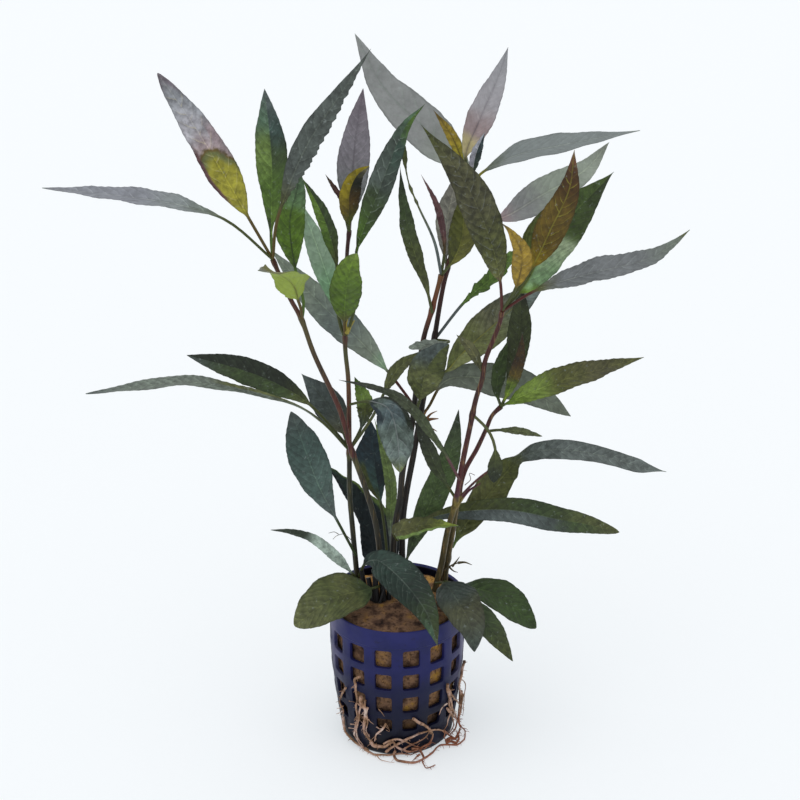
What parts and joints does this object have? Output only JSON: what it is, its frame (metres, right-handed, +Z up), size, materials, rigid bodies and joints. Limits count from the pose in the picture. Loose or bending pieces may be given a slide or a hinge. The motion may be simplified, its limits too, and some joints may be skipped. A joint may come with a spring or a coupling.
{
  "type": "potted hygrophila guianensis",
  "caption": "Bushy aquarium plant with long pointed leaves on leafy stems, rooted in a wool plug in a small slotted net pot.",
  "frame": {"origin": "centre of the underside of the net pot's base, on the surface the pot stands on", "axes": "+Z up through the pot and the plant, -Y towards the side that is looked at, +X to that side's right"},
  "size_m": [0.212, 0.0628, 0.2605],
  "materials": {
    "pot": "satin",
    "wool": "matte",
    "stem": "satin",
    "root": "matte",
    "dark_green": "satin",
    "mid_green": "satin",
    "lime": "satin",
    "olive": "satin",
    "slate": "satin",
    "lavender": "satin",
    "navy": "satin",
    "mint": "satin",
    "red_gold": "satin"
  },
  "bodies": {
    "root": {"leaf_arching_right": "dark_green", "leaf_blue_green": "dark_green", "leaf_dark_left": "dark_green", "leaf_dark_low": "dark_green", "leaf_dark_narrow": "dark_green", "leaf_dark_serrated": "slate", "leaf_dark_upright": "dark_green", "leaf_far_left": "lavender", "leaf_far_left_low": "slate", "leaf_green_midrib": "mid_green", "leaf_green_narrow": "mid_green", "leaf_green_ovate": "mid_green", "leaf_green_rim": "mid_green", "leaf_green_slim": "mid_green", "leaf_green_strip": "mid_green", "leaf_green_upright": "dark_green", "leaf_grey_broad": "mint", "leaf_grey_midrib": "slate", "leaf_grey_right": "slate", "leaf_lavender_back": "lavender", "leaf_lavender_left": "lavender", "leaf_lavender_right": "lavender", "leaf_lavender_upright": "lavender", "leaf_lime_cupped": "lime", "leaf_mid_green": "mid_green", "leaf_mint_back": "mint", "leaf_navy": "navy", "leaf_olive_centre": "olive", "leaf_olive_front": "olive", "leaf_olive_low": "olive", "leaf_olive_ovate": "olive", "leaf_olive_right": "olive", "leaf_olive_rim": "olive", "leaf_pale_left": "mint", "leaf_pale_right": "mint", "leaf_pink_tall": "lavender", "leaf_red_gold": "red_gold", "leaf_silver_green": "mid_green", "leaf_slate_back": "slate", "leaf_slate_centre": "slate", "leaf_slate_front": "slate", "leaf_slate_left": "slate", "leaf_slate_long": "slate", "leaf_slate_right": "slate", "leaf_slate_veined": "slate", "leaf_teal_back": "navy", "leaf_teal_front": "navy", "leaf_wavy": "dark_green", "net_pot": "pot", "roots_front": "root", "roots_left": "root", "roots_right": "root", "stem_centre_front": "stem", "stem_centre_rear": "stem", "stem_left_leaning": "stem", "stem_left_upright": "stem", "stem_right_branch": "stem", "stem_right_main": "stem", "wool_plug": "wool"}
  },
  "joints": []
}
